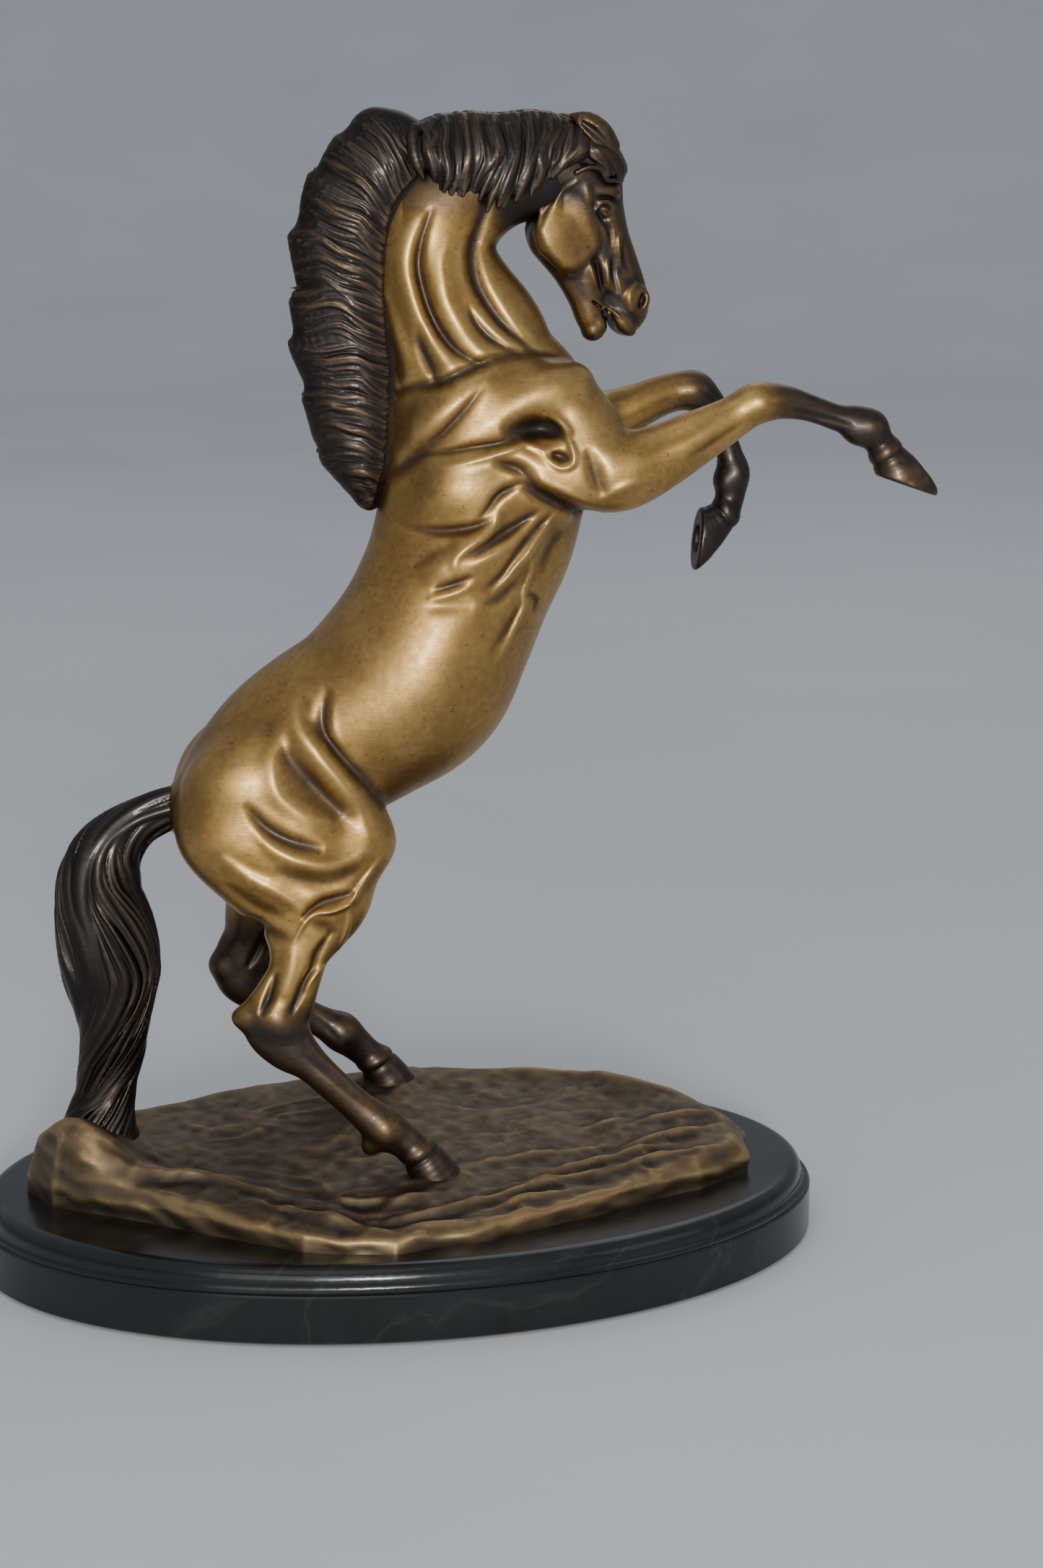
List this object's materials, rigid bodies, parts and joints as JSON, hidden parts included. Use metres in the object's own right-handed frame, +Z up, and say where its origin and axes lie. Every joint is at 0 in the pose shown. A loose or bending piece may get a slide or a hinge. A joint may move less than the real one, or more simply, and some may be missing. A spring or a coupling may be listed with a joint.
{
  "type": "rearing horse statuette",
  "caption": "Cast bronze statuette of a rearing horse with a windblown mane, on a modelled ground bolted to an oval black marble plinth.",
  "frame": {"origin": "centre of the felt's underside, the face the statuette rests on", "axes": "+Z up, +X the way the horse faces, so its right side is towards -Y"},
  "size_m": [0.329, 0.19, 0.3904],
  "materials": {
    "bronze_gold": "satin golden brown patina, rubbed bright on the high forms",
    "bronze_dark": "dark brown patina with gold worn ridges",
    "bronze_ground": "mottled dark brown patina, rubbed bright at the rim",
    "black_marble": "polished, with faint grey green veins",
    "steel": "zinc plated",
    "felt": "matt felt"
  },
  "bodies": {
    "root": {"hindquarters": "bronze_gold", "forequarters": "bronze_gold", "neck_casting": "bronze_gold", "head_casting": "bronze_gold", "right_hind_leg": "bronze_gold", "left_hind_leg": "bronze_gold", "right_foreleg": "bronze_gold", "left_foreleg": "bronze_gold", "tail": "bronze_dark", "blown_mane": "bronze_dark", "crest_mane": "bronze_dark", "forelock": "bronze_dark", "ground_casting": "bronze_ground", "marble_plinth": "black_marble", "threaded_studs": "steel", "stud_washers": "steel", "stud_nuts": "steel", "felt_pad": "felt"}
  },
  "joints": []
}
